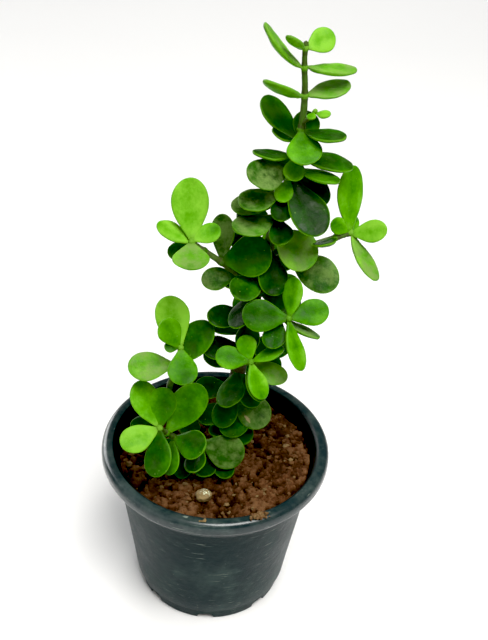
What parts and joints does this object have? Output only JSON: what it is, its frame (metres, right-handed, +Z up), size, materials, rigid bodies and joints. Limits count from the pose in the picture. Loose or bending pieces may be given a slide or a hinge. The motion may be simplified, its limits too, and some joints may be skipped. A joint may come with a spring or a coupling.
{
  "type": "potted jade plant",
  "caption": "Succulent with a leaning woody trunk, side shoots and opposite pairs of thick spoon-shaped leaves, growing in soil in a tapered nursery pot with a rolled rim.",
  "frame": {"origin": "centre of the flat underside of the pot", "axes": "+Z up through the pot's axis; -Y is the front that the plant's fullest side faces; the trunk leans towards +X"},
  "size_m": [0.166, 0.152, 0.4029],
  "materials": {
    "pot_plastic": "dark blue-grey recycled plastic, dusty, with light scuffs and scratches",
    "soil": "loose reddish-brown clods, matt, with dark gaps between them",
    "grit": "smooth tan pebble with pale glints",
    "bark": "knobbly jointed stem, brown at the foot, turning olive green towards the tip",
    "green_stem": "smooth fleshy olive-green stem with ringed joints",
    "young_leaf": "bright lime green, satin gloss, pale thin rim",
    "mature_leaf": "mid green, satin gloss, pale rim and tiny pale specks",
    "old_leaf": "dark dusky green with a dusty bloom, pale rim and specks"
  },
  "bodies": {
    "root": {"pot": "pot_plastic", "soil": "soil", "pebble": "grit", "rim_crumb": "soil", "trunk": "bark", "top_twig": "green_stem", "left_shoot": "green_stem", "right_shoot": "green_stem", "middle_shoot": "green_stem", "front_shoot": "green_stem", "upright_shoot": "green_stem", "low_shoot": "green_stem", "basal_shoot": "green_stem", "back_shoot_high": "green_stem", "back_shoot_low": "green_stem", "trunk_leaves_01": "old_leaf", "trunk_leaves_02": "old_leaf", "trunk_leaves_03": "old_leaf", "trunk_leaves_04": "old_leaf", "trunk_leaves_05": "mature_leaf", "trunk_leaves_06": "mature_leaf", "trunk_leaves_07": "mature_leaf", "trunk_leaves_08": "mature_leaf", "trunk_leaves_09": "old_leaf", "trunk_leaves_10": "mature_leaf", "trunk_leaves_11": "mature_leaf", "trunk_leaves_12": "old_leaf", "trunk_leaves_13": "old_leaf", "trunk_leaves_14": "old_leaf", "trunk_leaves_15": "mature_leaf", "trunk_leaves_16": "old_leaf", "trunk_leaves_17": "mature_leaf", "trunk_leaves_18": "mature_leaf", "trunk_leaves_19": "mature_leaf", "trunk_leaves_20": "young_leaf", "trunk_leaves_21": "young_leaf", "trunk_leaves_22": "young_leaf", "top_twig_leaves": "young_leaf", "left_leaves_1": "mature_leaf", "left_leaves_2": "mature_leaf", "left_leaves_3": "mature_leaf", "left_crown": "young_leaf", "right_leaves_1": "mature_leaf", "right_leaves_2": "mature_leaf", "right_crown": "young_leaf", "middle_leaves": "mature_leaf", "middle_crown": "young_leaf", "front_leaves": "mature_leaf", "front_crown": "young_leaf", "upright_leaves": "mature_leaf", "upright_crown": "young_leaf", "low_leaves_1": "old_leaf", "low_leaves_2": "mature_leaf", "low_leaves_3": "mature_leaf", "low_crown": "young_leaf", "basal_leaves_1": "old_leaf", "basal_leaves_2": "mature_leaf", "back_high_leaves": "old_leaf", "back_high_crown": "young_leaf", "back_low_crown": "young_leaf"}
  },
  "joints": []
}
